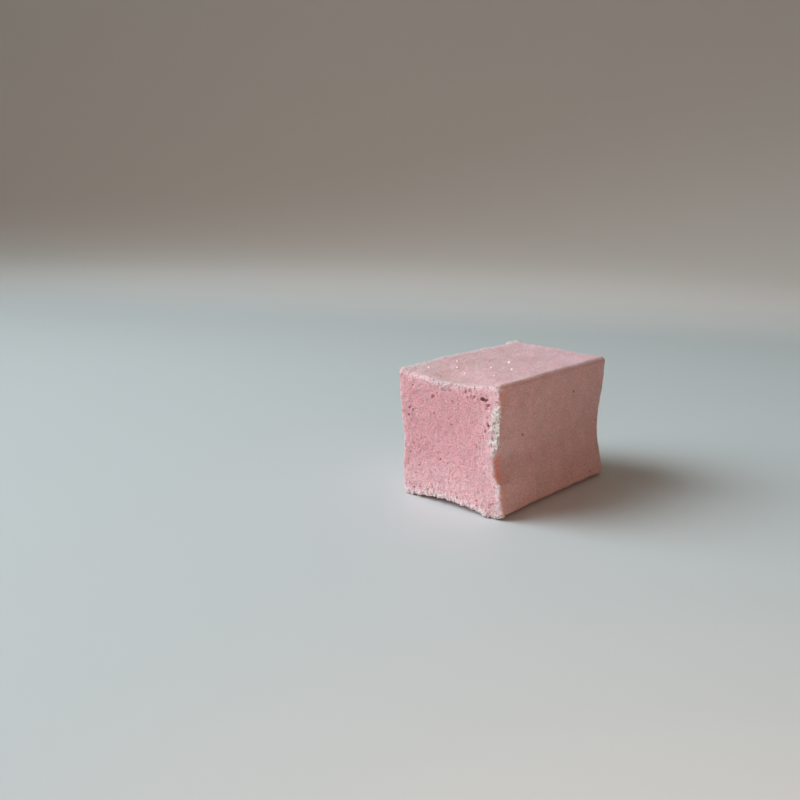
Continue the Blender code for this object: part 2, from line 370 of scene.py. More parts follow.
# On the cut: share of the width from the near side, share of the height, radius in mm, and
# how much of the ball lies inside the foam
CUT_BUBBLES = (
    (0.153, 0.903, 0.56, 0.80), (0.126, 0.894, 0.42, 0.80), (0.205, 0.880, 0.22, 0.30),
    (0.106, 0.855, 0.38, 0.40), (0.117, 0.832, 0.30, 0.36), (0.088, 0.868, 0.24, 0.30),
    (0.268, 0.960, 0.32, 0.50), (0.315, 0.945, 0.26, 0.40), (0.232, 0.915, 0.28, 0.36),
    (0.300, 0.905, 0.24, 0.30), (0.642, 0.855, 0.44, 0.44), (0.600, 0.889, 0.28, 0.26),
    (0.447, 0.850, 0.26, 0.28), (0.470, 0.940, 0.34, 0.30), (0.894, 0.712, 0.36, 0.36),
    (0.864, 0.697, 0.28, 0.34), (0.915, 0.650, 0.34, 0.42), (0.880, 0.777, 0.24, 0.30),
    (0.897, 0.427, 0.30, 0.30), (0.092, 0.708, 0.38, 0.42), (0.121, 0.659, 0.40, 0.44),
    (0.145, 0.616, 0.34, 0.36), (0.161, 0.592, 0.24, 0.30), (0.055, 0.617, 0.30, 0.34),
    (0.586, 0.332, 0.34, 0.40), (0.411, 0.201, 0.26, 0.30), (0.212, 0.088, 0.30, 0.30),
    (0.066, 0.118, 0.26, 0.30), (0.083, 0.100, 0.28, 0.32), (0.101, 0.081, 0.28, 0.32),
    (0.119, 0.064, 0.24, 0.28), (0.872, 0.061, 0.28, 0.32), (0.808, 0.070, 0.24, 0.32),
)  # fmt: skip
# On the near side: share of the length from the cut, share of the height, radius, inside
NEAR_PORES = ((0.685, 0.789, 0.34, 0.50), (0.238, 0.575, 0.30, 0.48), (0.873, 0.070, 0.26, 0.50),
    (0.175, 0.075, 0.20, 0.40))  # fmt: skip
SMALL_CUT_BUBBLES = 60
SMALL_CUT_RADII = (0.14, 0.28)
SKIN_PORES = {"near": 12, "far": 14, "top": 8, "end": 9}
SKIN_PORE_RADII = (0.09, 0.18)
SMALL_INSIDE = (0.14, 0.34)  # how much of the small ones lies inside
BUBBLE_MARGIN = 0.0013  # the least distance of a bubble from its face's edges
BUBBLE_CROWD = 0.0026  # how far from there the small ones crowd

# Each face's corner as shares of the box, its two directions, and the way into the bar
FACES = {
    "cut": ((0, 0, 0), (0, 1, 0), (0, 0, 1), (1, 0, 0)),
    "end": ((1, 0, 0), (0, 1, 0), (0, 0, 1), (-1, 0, 0)),
    "near": ((0, 0, 0), (1, 0, 0), (0, 0, 1), (0, 1, 0)),
    "far": ((0, 1, 0), (1, 0, 0), (0, 0, 1), (0, -1, 0)),
    "top": ((0, 0, 1), (1, 0, 0), (0, 1, 0), (0, 0, -1)),
}
BOX_SIZE = Vector((LENGTH, WIDTH, HEIGHT))
BOX_LOW = BOX_MIDDLE - BOX_SIZE / 2


def on_face(face, first, second, inward):
    """A point of the plain box by two shares of a face, and a distance into the bar."""
    corner, right, up, into = (Vector(part) for part in FACES[face])
    share = corner + right * first + up * second
    return BOX_LOW + share * BOX_SIZE + into * inward


def scatter_on(face, count, radii, near_edges):
    """Bubbles drawn by chance on a face. near_edges makes them crowd towards its edges."""
    right, up = (Vector(part) for part in FACES[face][1:3])
    wide, high = right.dot(BOX_SIZE), up.dot(BOX_SIZE)
    found = []
    while len(found) < count:
        first, second = chance.random(), chance.random()
        edge_gap = min(first * wide, (1 - first) * wide, second * high, (1 - second) * high)
        crowding = 1.0
        if near_edges:
            crowding = 0.25 + math.exp(-((edge_gap - BUBBLE_MARGIN) / BUBBLE_CROWD) ** 2)
        if edge_gap > BUBBLE_MARGIN and chance.random() < crowding:
            found.append((first, second, chance.uniform(*radii), chance.uniform(*SMALL_INSIDE)))
    return found


bubbles = [("cut", *row) for row in CUT_BUBBLES] + [("near", *row) for row in NEAR_PORES]
bubbles += [("cut", *row) for row in scatter_on("cut", SMALL_CUT_BUBBLES, SMALL_CUT_RADII, True)]
for face, count in SKIN_PORES.items():
    bubbles += [(face, *row) for row in scatter_on(face, count, SKIN_PORE_RADII, False)]
print("bubbles:", len(bubbles))

# %% Model them as uneven balls
BALL_LUMPINESS = 0.18
BALL_STRETCH = ((0.9, 1.3), (0.85, 1.35), (0.7, 1.05))  # along the bar, across it and up


def chance_turn(least, most):
    """A turn by three angles drawn by chance, as a matrix."""
    return Euler([chance.uniform(least, most) for _ in range(3)]).to_matrix().to_4x4()


def add_ball(name, place, radius):
    """A lumpy ball, stretched and turned a little by chance."""
    start_clean()
    bpy.ops.mesh.primitive_ico_sphere_add(subdivisions=2, radius=radius)
    ball = bpy.context.object
    ball.name = name
    for vert in ball.data.vertices:
        vert.co *= 1.0 + chance.uniform(-BALL_LUMPINESS, BALL_LUMPINESS)
    stretch = Matrix.Diagonal([chance.uniform(*reach) for reach in BALL_STRETCH] + [1.0])
    ball.data.transform(Matrix.Translation(place) @ chance_turn(-0.5, 0.5) @ stretch)
    return ball


bubble_set = bpy.data.collections.new("bubbles")
bpy.context.scene.collection.children.link(bubble_set)
for number, (face, first, second, radius, inside) in enumerate(bubbles):
    radius /= 1000.0
    ball = add_ball(f"bubble_{number}", on_face(face, first, second, radius * (2 * inside - 1)), radius)
    for owner in list(ball.users_collection):
        owner.objects.unlink(ball)
    bubble_set.objects.link(ball)

# %% Cut them out


def pick(thing):
    """Leaves one object selected and active, and nothing else."""
    start_clean()
    thing.select_set(True)
    bpy.context.view_layer.objects.active = thing


def apply_modifier(thing, name, kind, **settings):
    """Puts a modifier with its settings on a thing, which is the active one, and applies it."""
    modifier = thing.modifiers.new(name, kind)
    for setting, value in settings.items():
        setattr(modifier, setting, value)
    bpy.ops.object.modifier_apply(modifier=modifier.name)


pick(bar)
all_balls = {"operand_type": "COLLECTION", "collection": bubble_set}
apply_modifier(bar, "bubbles", "BOOLEAN", operation="DIFFERENCE", solver="EXACT", **all_balls)
for ball in list(bubble_set.objects):
    bpy.data.objects.remove(ball)
bpy.data.collections.remove(bubble_set)
print("bar with bubbles has", len(bar.data.polygons), "faces")

# %% [markdown]
# ## Drying and cutting
#
# The dried shape could be sculpted, but it follows simple rules, so it is painted instead.
# Each hollow, fold and flare is a weight from 0 to 1 on every point, worked out from where
# the point lies in the plain box. A Displace modifier then moves the points by that weight
# times one real distance. All weights are painted first, so they don't disturb each other.
#
# The dried edges are round, but the knife left the edges of the cut sharp. So the last rules
# of the list push the round edges of the cut back out towards a corner.

# %% Name the sizes of the dried shape
SIDE_PINCH = 0.0016  # depth of the crease along the near side
PINCH_AT_CUT, PINCH_AT_END = 0.82, 0.80  # the share of it at the cut and at the bar's own end
BACK_PINCH = 0.0006
END_PINCH = 0.0005
CREASE_AT_CUT = 0.43  # height of the crease as a share of the bar's height
CREASE_AT_END = 0.40
CREASE_SOFTNESS = 0.0005
FOLD_POWER_BY_CUT = 3.2  # the knife sharpened the fold near the cut
FOLD_POWER_ALONG = 1.2  # and further along it is a plain V
# At the cut itself the fold is a wide notch with a step at its foot: share of the height, depth
CUT_NOTCH = ((0.0, 0.0), (0.262, 0.0), (0.285, 0.30), (0.300, 0.56), (0.330, 0.80), (0.380, 0.92),
    (0.430, 1.0), (0.466, 1.0), (0.513, 0.78), (0.545, 0.56), (0.585, 0.30), (0.715, 0.22),
    (0.755, 0.04), (0.800, 0.0), (1.0, 0.0))  # fmt: skip
NOTCH_REACH = 0.18  # the share of the length over which the notch turns into the crease
KNIFE_REACH = 0.0075  # how far along the bar the knife's marks fade
TOP_SAG = 0.00120
# How deep the knife pressed the top, from the near side (-1) to the far side (1)
SAG_ACROSS = ((-1.0, 0.0), (-0.75, 0.45), (-0.5, 0.68), (-0.2, 0.90), (0.05, 1.0), (0.25, 0.90),
    (0.55, 0.82), (0.78, 0.50), (0.90, 0.24), (1.0, 0.0))  # fmt: skip
TOP_DISH = 0.0001
BASE_ARCH = 0.0010
ARCH_CUTOFF = 0.3
CUT_HOLLOW = 0.0006
CUT_LEAN = 0.0013
CUT_SHARPNESS = 0.8
SIDE_FLARE = 0.0006
BACK_TUCK = 0.0011
END_FLARE = 0.0015
END_REACH = 0.0007  # how much further the far top corner of the end reaches
END_RISE = 0.00014
BASE_LIFT = 0.00032  # how far the near foot of the bar stands off the floor
NEAR_FOOT_BACK = 0.0010  # how far its corner by the cut lies behind the cut's lean
SHARPENING = EDGE_RADIUS / 4  # with a hump of 1, it turns a round edge into a corner
print("deepest crease, sag and arch, in mm:", in_mm((SIDE_PINCH, TOP_SAG, BASE_ARCH)))

# %% Say where a point of the plain box lies


def mixed(a, b, share):
    """a at share 0, b at share 1, and straight between them."""
    return a + (b - a) * share


def smooth(low, high, value):
    """0 below low, 1 above high, and a smooth step between them."""
    t = min(1.0, max(0.0, (value - low) / (high - low)))
    return t * t * (3.0 - 2.0 * t)


def from_table(table, value):
    """Reads a table of rising places and their values, straight between its rows."""
    for (low, *first), (high, *second) in zip(table, table[1:]):
        if value <= high:
            share = max(0.0, (value - low) / (high - low))
            return [mixed(a, b, share) for a, b in zip(first, second)]
    return list(table[-1][1:])


def hump(value):
    """0 at both ends of a round edge, and 1 in its middle."""
    q = value / EDGE_RADIUS
    return 4.0 * q * (1.0 - q) if 0.0 < q < 1.0 else 0.0


class Spot:
    """Where a point lies in the plain box, and how far the shaping rules reach it."""

    def __init__(self, point):
        self.place = point.copy()
        self.depth = point.x - CUT_X
        self.along = self.depth / LENGTH
        self.across = 2.0 * (point.y - BOX_MIDDLE.y) / WIDTH
        self.up = point.z / HEIGHT
        self.down = 1.0 - self.up
        self.near = max(0.0, -self.across)
        self.far = max(0.0, self.across)
        self.to_side = WIDTH / 2 * (1.0 - abs(self.across))
        self.to_top = HEIGHT - point.z
        self.inward = min(self.to_side, point.z, self.to_top)
        self.knife = math.exp(-((self.depth / KNIFE_REACH) ** 2))
        self.bow = 1.0 - self.across**2
        self.fold = self.closed_fold()
        self.at_cut = CUT_SHARPNESS if self.depth < EDGE_RADIUS and self.inward < EDGE_RADIUS else 0.0
        gaps = sorted((self.depth, LENGTH - self.depth, self.to_side, point.z, self.to_top))
        self.sunk = gaps[0] if gaps[1] > EDGE_RADIUS else 0.0

    def closed_fold(self):
        """1 at the crease, falling to 0 at the top and the base."""
        height = mixed(CREASE_AT_CUT, CREASE_AT_END, self.along)
        rise = (self.up - height) * HEIGHT
        span = (1.0 - height) * HEIGHT if rise > 0.0 else height * HEIGHT
        gap = math.hypot(rise, CREASE_SOFTNESS) - CREASE_SOFTNESS
        power = mixed(FOLD_POWER_BY_CUT, FOLD_POWER_ALONG, smooth(0.0, 0.6, self.along))
        return max(0.0, 1.0 - gap / span) ** power

    def near_side_fold(self):
        """The near side's fold: the notch at the cut, and the crease further along."""
        notch = PINCH_AT_CUT * from_table(CUT_NOTCH, self.up)[0]
        crease = mixed(1.0, PINCH_AT_END, self.along) * self.fold
        return mixed(notch, crease, smooth(0.0, NOTCH_REACH, self.along))


spots = [Spot(vert.co) for vert in bar.data.vertices]
print("points to shape:", len(spots))

# %% Paint the weights and push the points
SHAPING = (
    ("near_fold", "Y", SIDE_PINCH, lambda s: s.near * s.near_side_fold()),
    ("far_fold", "Y", -BACK_PINCH, lambda s: s.far * s.fold),
    ("near_flare", "Y", -SIDE_FLARE, lambda s: s.near * s.down),
    ("far_tuck", "Y", -BACK_TUCK, lambda s: s.far * s.down * mixed(1.0, 0.2, s.along)),
    ("top_sag", "Z", -TOP_SAG, lambda s: s.up * s.knife * from_table(SAG_ACROSS, s.across)[0]),
    ("top_dish", "Z", -TOP_DISH, lambda s: s.up * s.bow),
    ("base_arch", "Z", BASE_ARCH, lambda s: s.down
        * max(0.0, (1.0 + ARCH_CUTOFF) * s.bow * s.knife - ARCH_CUTOFF)),
    ("near_lift", "Z", BASE_LIFT, lambda s: s.down**6 * smooth(0.80, 1.0, s.near)
        * mixed(0.6, 1.0, smooth(0.04, 0.35, s.along)) * (1.0 - smooth(0.90, 1.0, s.along))),
    ("cut_hollow", "X", CUT_HOLLOW, lambda s: s.bow * math.sin(math.pi * s.up) * (1.0 - s.along) ** 2),
    ("cut_lean", "X", CUT_LEAN, lambda s: s.down * (1.0 - s.along) ** 2),
    ("end_fold", "X", -END_PINCH, lambda s: s.fold * s.along**3),
    ("end_flare", "X", END_FLARE, lambda s: s.down * smooth(0.7, 1.0, s.along) * s.along**3),
    ("end_reach", "X", END_REACH, lambda s: smooth(0.3, 1.0, s.up) * smooth(0.75, 1.0, s.along)
        * mixed(0.2, 1.0, (1.0 + s.across) / 2)),
    ("end_rise", "Z", END_RISE, lambda s: s.up * smooth(0.85, 1.0, s.along)),
    ("foot_back", "X", NEAR_FOOT_BACK, lambda s: s.down**10 * smooth(0.6, 1.0, s.near)
        * (1.0 - s.along)**8),
    ("sharp_forward", "X", -SHARPENING, lambda s: s.at_cut * hump(s.depth)),
    ("sharp_near", "Y", -SHARPENING, lambda s: s.at_cut * hump(s.to_side) * (s.across < 0.0)),
    ("sharp_far", "Y", SHARPENING, lambda s: s.at_cut * hump(s.to_side) * (s.across > 0.0)
        * smooth(0.0006, 0.0030, s.to_top)),
    ("sharp_top", "Z", SHARPENING, lambda s: s.at_cut * hump(s.to_top)
        * (1.0 - smooth(0.4, 0.9, s.across))),
    ("sharp_base", "Z", -SHARPENING, lambda s: s.at_cut * hump(s.up * HEIGHT)),
)  # fmt: skip


def paint_weight(name, share):
    """Paints a weight on every point of the bar from its spot in the plain box."""
    group = bar.vertex_groups.new(name=name)
    for index, spot in enumerate(spots):
        weight = share(spot)
        if weight > 0.0:
            group.add([index], min(1.0, weight), "REPLACE")


def displace(name, distance, direction, texture=None, middle=0.0):
    """Moves the bar's points by a painted weight times a distance."""
    push = {"direction": direction, "strength": distance, "mid_level": middle}
    apply_modifier(bar, name, "DISPLACE", vertex_group=name, texture=texture, texture_coords="LOCAL", **push)


for name, direction, distance, share in SHAPING:
    paint_weight(name, share)
for name, direction, distance, share in SHAPING:
    displace(name, distance, direction)
print("shaped bar, in mm:", in_mm(bar.dimensions))

# %% [markdown]
# ## Where foam shows, and where it is pale
#
# Masks steer both the relief and the colour. They say where the foam lies open, where the
# knife tore the rim, where the surface is pale with dry crumb and dust, where light and glow
# are painted, and how deep a point lies in a bubble. They are kept on the mesh as named
# attributes, because a pattern that follows the surface has to travel with it.
#
# The pale band is not the same all round. By the near side it is white and ragged above the
# crease, and soft and pink below it. Under the top it is a thin cream line. The dried edges of
# the top are painted paler too: a painted highlight, which at the bar's end also lifts their shade.

# %% Measure the pale bands
# How pale the near rim is, from the base up: share of the height, strength, width in mm
NEAR_BAND = (
    (0.00, 1.05, 2.40), (0.10, 1.05, 2.10), (0.24, 1.00, 2.10), (0.29, 0.80, 1.60),
    (0.42, 0.75, 1.50), (0.48, 0.85, 1.60), (0.86, 0.95, 1.75), (0.90, 0.85, 2.00), (1.00, 0.90, 2.30),
)  # fmt: skip
# The other rims, and the wide haze beside every rim: strength, width in mm
OTHER_BANDS = {"far": (0.45, 0.8), "top": (1.00, 1.4), "base": (1.10, 2.0)}
HAZE_BANDS = {"near": (0.34, 5.0), "far": (0.10, 2.5), "top": (0.24, 3.0), "base": (0.34, 10.0)}
# The painted highlight along the top's round edges: strength, width in mm
PAINTED_EDGE_LIGHTS = {"far": (1.00, 2.3), "end": (0.60, 1.9), "near": (0.32, 1.7)}
# How pale the top is by the cut: dust, and painted light that lifts the shade at the far corner
DUST_AND_LIGHT_BY_CUT = 0.60
TOP_EDGE = 0.0012  # how far below the top its round edges reach
# White clumps of crumb by the near rim: share of the height, height and width in mm, crumbs
CLUMPS = (
    (0.830, 0.75, 1.25, 44), (0.773, 1.25, 1.30, 72), (0.700, 1.45, 1.65, 96), (0.640, 0.50, 0.70, 12),
    (0.587, 1.00, 1.60, 60), (0.540, 0.60, 0.60, 9), (0.488, 0.55, 0.60, 12),
)  # fmt: skip


def rim_gaps(spot):
    """The distances of a point from the rims of the cut and from the end, in millimetres."""
    return {
        "near": (1.0 + spot.across) * WIDTH * 500,
        "far": (1.0 - spot.across) * WIDTH * 500,
        "top": spot.to_top * 1000,
        "base": spot.up * HEIGHT * 1000,
        "end": (1.0 - spot.along) * LENGTH * 1000,
    }


def fade(gap, width):
    """1 by a rim, falling smoothly to 0 where the gap is as wide as the band, both in mm."""
    return 1.0 - smooth(0.2 * width, width, gap)


print("pale band by the near rim at half height:", from_table(NEAR_BAND, 0.5))

# %% Say where the foam is open, torn and pale


def open_foam(spot):
    """1 on the cut face and in every bubble, 0 on the skin."""
    if spot.inward > EDGE_RADIUS and spot.depth < 0.0016:
        return 1.0
    if spot.sunk > 0.00003:
        return 1.0
    return 1.0 - smooth(0.0001, 0.0006, spot.depth)


def torn_rim(spot):
    """1 at the rim of the cut, fading both ways. It is rougher by the near side."""
    gaps = rim_gaps(spot)
    rough = 1.0 if spot.up > 0.44 else 0.35
    inner = max(
        rough * fade(gaps["near"], 1.6),
        0.5 * fade(gaps["far"], 1.0),
        0.6 * fade(gaps["top"], 1.0),
        0.9 * fade(gaps["base"], 1.6),
    )
    return inner * (1.0 - smooth(0.0003, 0.0010, spot.depth))


def strongest(bands, gaps):
    """The strongest of several bands at a point."""
    return max(strength * fade(gaps[name], width) for name, (strength, width) in bands.items())


def pale_band(spot):
    """How pale the surface is, from 0 to 1."""
    gaps = rim_gaps(spot)
    strength, width = from_table(NEAR_BAND, spot.up)
    near = strength * fade(gaps["near"], width)
    rim = max(near, strongest(OTHER_BANDS, gaps), strongest(HAZE_BANDS, gaps))
    on_cut = rim * (1.0 - smooth(0.0002, 0.0010, spot.depth))
    by_cut = 0.0
    if spot.to_top < TOP_EDGE:
        # At the far corner by the cut the top is painted paler: painted light over the shade of its slope
        painted_light_by_corner = smooth(0.2, 0.8, spot.across) * fade(spot.depth * 1000, 9.0)
        by_cut = DUST_AND_LIGHT_BY_CUT * max(painted_light_by_corner, fade(spot.depth * 1000, 2.2))
    return max(on_cut, by_cut * (1.0 - open_foam(spot)))


def painted_edge_light(spot):
    """How white the top's round edges are painted: a painted highlight, which also lifts their shade."""
    if spot.to_top > TOP_EDGE:
        return 0.0
    white = strongest(PAINTED_EDGE_LIGHTS, rim_gaps(spot))
    return white * smooth(0.0004, 0.0012, spot.depth) * (1.0 - smooth(0.0001, 0.0006, spot.to_top))


def white_crust(spot):
    """1 where the white clumps sit, so that the bar is white under them."""
    gap = rim_gaps(spot)["near"]
    most = 0.0
    for up, high, wide, _ in CLUMPS:
        off = math.hypot((spot.up - up) * HEIGHT * 1000 / (0.62 * high), gap / wide)
        most = max(most, 1.0 - smooth(0.55, 1.05, off))
    return most * (1.0 - smooth(0.0002, 0.0007, spot.depth))


print("points of open foam:", sum(open_foam(spot) > 0.5 for spot in spots))

# %% Say where dust and painted light lie, how deep bubbles are, and where glow is painted


def dust_and_painted_light(spot):
    """Fine dust on the top, more of it towards the bar's own end, and painted light at the far corner."""
    if spot.to_top > 0.0004:
        return 0.0
    # Painted light: the far corner by the cut is painted paler to lift the shade of its slope
    painted_light_corner = smooth(0.2, 0.8, spot.across) * (1.0 - smooth(0.05, 0.30, spot.along))
    return max(0.9 * painted_light_corner, mixed(0.60, 1.0, smooth(0.1, 0.9, spot.along)))


def in_bubble(spot):
    """How deep a point lies in a bubble, from 0 to 1."""
    return smooth(0.00005, 0.00060, spot.sunk) if 0.0 < spot.sunk < 0.0016 else 0.0


def painted_glow_edge(spot):
    """1 on the near side just behind the fold of the rim: a painted glow where light would shine through."""
    notch = smooth(0.26, 0.33, spot.up) * (1.0 - smooth(0.43, 0.50, spot.up))
    foot = 0.40 * smooth(0.03, 0.15, spot.up) * (1.0 - smooth(0.42, 0.52, spot.up))
    upper = 0.30 * smooth(0.5, 0.9, spot.up)
    near = 1.0 if spot.across < -0.85 and spot.depth > 0.0002 else 0.0
    return near * max(notch, foot, upper) * (1.0 - smooth(0.0008, 0.0032, spot.depth))


def off_the_floor(spot):
    """0 at the base, so that it stays flat."""
    return smooth(0.0, 0.0006, spot.up * HEIGHT)


def coarse_corner(spot):
    """The foam is coarser towards the rims."""
    gaps = rim_gaps(spot)
    coarse = max(fade(gaps["far"], 7.0), fade(gaps["top"], 5.0), fade(gaps["near"], 5.0))
    return mixed(0.60, 1.0, max(coarse, fade(gaps["base"], 9.0)))


def near_foot(spot):
    """1 on the lowest part of the near side."""
    return smooth(0.80, 0.95, spot.near) * (1.0 - smooth(0.0006, 0.0025, spot.up * HEIGHT))


print("points in bubbles:", sum(in_bubble(spot) > 0.0 for spot in spots))

# %% Keep the masks and paint the weights of the relief
MASKS = (open_foam, pale_band, in_bubble, painted_glow_edge, white_crust, dust_and_painted_light, painted_edge_light)
for mask in MASKS:
    attribute = bar.data.attributes.new(mask.__name__, "FLOAT", "POINT")
    attribute.data.foreach_set("value", [mask(spot) for spot in spots])
paint_weight("free_skin", lambda spot: off_the_floor(spot) * (1.0 - open_foam(spot)))
paint_weight("free_foam", lambda spot: off_the_floor(spot) * open_foam(spot) * coarse_corner(spot))
paint_weight("free_rim", lambda spot: smooth(0.0, 0.0003, spot.up * HEIGHT) * torn_rim(spot))
paint_weight("free_foot", near_foot)
print("masks:", [mask.__name__ for mask in MASKS])

# %% [markdown]
# ## Relief
#
# Relief that is large enough to catch the light or break the outline is real geometry, and
# only what is finer is left to bump in the material. The dry skin has slow waves and a faint
# grain. The foam is rougher, with small round cells. The rim, torn as the knife left the
# skin, is roughest of all, and the foot of the near side is a little ragged.

# %% Roughen the surfaces


def new_texture(name, kind, size, depth=0):
    """A legacy texture for a Displace modifier. depth adds finer detail to clouds."""
    texture = bpy.data.textures.new(name, kind)
    texture.noise_scale = size
    if kind == "CLOUDS":
        texture.noise_depth = depth
    return texture


# Weight, distance, the texture's name, kind, size and detail, the level that stays, direction
RELIEF = (
    ("free_skin", 0.00030, "skin_wave", "CLOUDS", 0.0045, 0, 0.50, "NORMAL"),
    ("free_skin", 0.00016, "skin_dents", "CLOUDS", 0.0013, 1, 0.50, "NORMAL"),
    ("free_foam", 0.00018, "foam_lumps", "CLOUDS", 0.0010, 1, 0.50, "NORMAL"),
    ("free_foam", 0.00016, "foam_grain", "CLOUDS", 0.00040, 0, 0.50, "NORMAL"),
    ("free_foam", 0.00008, "foam_cells", "VORONOI", 0.00050, 0, 0.52, "NORMAL"),
    ("free_rim", 0.00044, "rim_lumps", "CLOUDS", 0.0008, 1, 0.45, "NORMAL"),
    ("free_rim", 0.00022, "rim_grain", "CLOUDS", 0.00040, 0, 0.45, "NORMAL"),
    ("free_foot", 0.00045, "foot_rags", "CLOUDS", 0.0011, 1, 0.20, "Z"),
)
for name, distance, look, kind, size, detail, middle, direction in RELIEF:
    displace(name, distance, direction, new_texture(look, kind, size, detail), middle)
pick(bar)
bpy.ops.object.shade_smooth_by_angle(angle=math.radians(60))
print("bar, in mm:", in_mm(bar.dimensions), "with", len(bar.data.polygons), "faces")

# %% [markdown]
# ## The finish of the bar
#
# One material covers the whole bar, because skin and foam are one substance: open foam is a
# clear deep pink, the dry skin a paler and dustier one, and the torn rim nearly white. The
# masks mix those colours, the grain breaks up every border between them, and bubbles get a
# painted shade, darker and redder deep inside. Painted light lifts the top's edges and its far
# corner by the cut, and a painted red glow lies behind the near rim. Light sinks into foam, so
# the shader scatters some of it under the surface.

# %% Name the colours and wire the nodes
FOAM_PINK = (0.778, 0.402, 0.440, 1.0)
SKIN_PINK = (0.848, 0.501, 0.478, 1.0)
RIM_PALE = (0.945, 0.705, 0.733, 1.0)
CRUST_WHITE = (0.825, 0.705, 0.680, 1.0)
# Painted shade: bubbles are darker and redder deep inside
PAINTED_BUBBLE_SHADE = (0.600, 0.250, 0.295, 1.0)
PIT_SHADE = (0.760, 0.690, 0.700, 1.0)
# Painted glow: a red tint where light would shine through the thin near rim
PAINTED_GLOW = (1.000, 0.335, 0.255, 1.0)
SPECK_PALE = (0.930, 0.620, 0.645, 1.0)
# Pale dust on the top, also used as painted light at the far corner by the cut
PALE_DUST_AND_LIGHT = (0.965, 0.600, 0.670, 1.0)
# Painted highlight along the top's round edges, which also lifts their shade at the end
PAINTED_EDGE_WHITE = (0.950, 0.860, 0.860, 1.0)
SCATTER_DEPTH = 0.0012


def mix_colours(tree, factor, first, second, kind="MIX"):
    """A colour Mix node of colours or pairs, as a pair."""
    node = tree.nodes.new("ShaderNodeMix")
    node.data_type = "RGBA"
    node.blend_type = kind
    return feed(node, {0: factor, 6: first, 7: second}), 2


def new_material(name):
    material = bpy.data.materials.new(name)
    material.use_nodes = True
    return material, material.node_tree, material.node_tree.nodes["Principled BSDF"]


def add_grain(tree, fineness, cells, specks=0.2):
    """Places the grain group in a material with values of its own."""
    grain = tree.nodes.new("ShaderNodeGroup")
    grain.node_tree = dry_grain
    return feed(grain, {"Fineness": fineness, "Cells": cells, "Speck Share": specks})


def read_mask(tree, name):
    """A mask that is kept on the bar's mesh, as a pair."""
    node = tree.nodes.new("ShaderNodeAttribute")
    node.attribute_name = name
    return node, "Fac"


def add_bump(shader, height, strength, distance):
    """A Bump node from a height to the shader's Normal."""
    bump = shader.id_data.nodes.new("ShaderNodeBump")
    feed(bump, {"Height": height, "Strength": strength, "Distance": distance})
    feed(shader, {"Normal": (bump, "Normal")})


def finish_surface(shader, colour, roughness, shine, scatter, reach, depth):
    """The colour and the sheen, and how strongly and how deep light scatters inside."""
    feed(shader, {"Base Color": colour, "Roughness": roughness, "Specular IOR Level": shine})
    feed(shader, {"Subsurface Weight": scatter, "Subsurface Radius": reach, "Subsurface Scale": depth})


print("the skin's colour is", SKIN_PINK[:3], "and the foam's", FOAM_PINK[:3])

# %% Make the pastila material


def make_pastila():
    material, tree, shader = new_material("pastila_skin_and_foam")
    slow = add_grain(tree, 330.0, 420.0, 0.3)
    coarse = add_grain(tree, 1300.0, 1500.0, 0.22)
    fine = add_grain(tree, 3700.0, 3100.0, 0.30)
    foam = read_mask(tree, "open_foam")

    base = mix_colours(tree, foam, SKIN_PINK, FOAM_PINK)
    mottle = rerange(tree, (slow, "Grain"), 0.32, 0.68, 0.93, 1.05)
    colour = mix_colours(tree, 1.0, base, mottle, "MULTIPLY")
    patchy = rerange(tree, (slow, "Grain"), 0.38, 0.62, 0.50, 1.00)

    # The grain pushes each pale border in and out, so that none ends in a clean line.
    ragged = rerange(tree, (coarse, "Grain"), 0.30, 0.70, 0.45, 1.35)
    # Layers over the base, from the lowest to the highest: mask, share that shows, colour
    layers = (
        # dust, and painted light at the far corner
        ("dust_and_painted_light", patchy, PALE_DUST_AND_LIGHT),
        # painted glow behind the near rim
        ("painted_glow_edge", 0.70, PAINTED_GLOW),
        ("pale_band", ragged, RIM_PALE),
        # painted highlight along the top's edges
        ("painted_edge_light", ragged, PAINTED_EDGE_WHITE),
        ("white_crust", 1.0, CRUST_WHITE),
        # painted shade deep in the bubbles
        ("in_bubble", 0.85, PAINTED_BUBBLE_SHADE),
    )
    for mask_name, share, tint in layers:
        amount = calculate(tree, "MULTIPLY", read_mask(tree, mask_name), share, clamp=True)
        colour = mix_colours(tree, amount, colour, tint)

    # Cells darken towards their middle with a painted shade in their pits, and some of them hold a speck of
    # dust.
    pit_share = calculate(tree, "MULTIPLY_ADD", foam, 0.7, 0.3)
    pits_here = calculate(tree, "MULTIPLY", (fine, "Pits"), pit_share)
    pitted = mix_colours(tree, pits_here, colour, PIT_SHADE, "MULTIPLY")
    bare = calculate(tree, "SUBTRACT", 1.0, read_mask(tree, "in_bubble"))
    specks = calculate(tree, "MULTIPLY", (coarse, "Specks"), bare)
    speck_share = calculate(tree, "MULTIPLY", specks, 0.4)
    speckled = mix_colours(tree, speck_share, pitted, SPECK_PALE)
    light = rerange(tree, (fine, "Grain"), 0.30, 0.70, 0.78, 1.22)
    shaded = mix_colours(tree, 1.0, speckled, light, "MULTIPLY")

    pits = calculate(tree, "MULTIPLY_ADD", (fine, "Pits"), -1.0, (fine, "Grain"))
    dented = calculate(tree, "MULTIPLY_ADD", (coarse, "Grain"), 0.7, pits)
    strength = calculate(tree, "MULTIPLY_ADD", foam, 0.3, 0.9)
    raised = calculate(tree, "MULTIPLY", dented, strength)
    add_bump(shader, raised, 0.75, 0.00015)
    finish_surface(shader, shaded, roughness=0.88, shine=0.25,
        scatter=0.45, reach=(1.0, 0.32, 0.26), depth=SCATTER_DEPTH)  # fmt: skip
    return material


pastila = make_pastila()
bar.data.materials.clear()
bar.data.materials.append(pastila)
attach(bar, "root")
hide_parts("pastila")
print("finish:", pastila.name, "with", len(pastila.node_tree.nodes), "nodes")

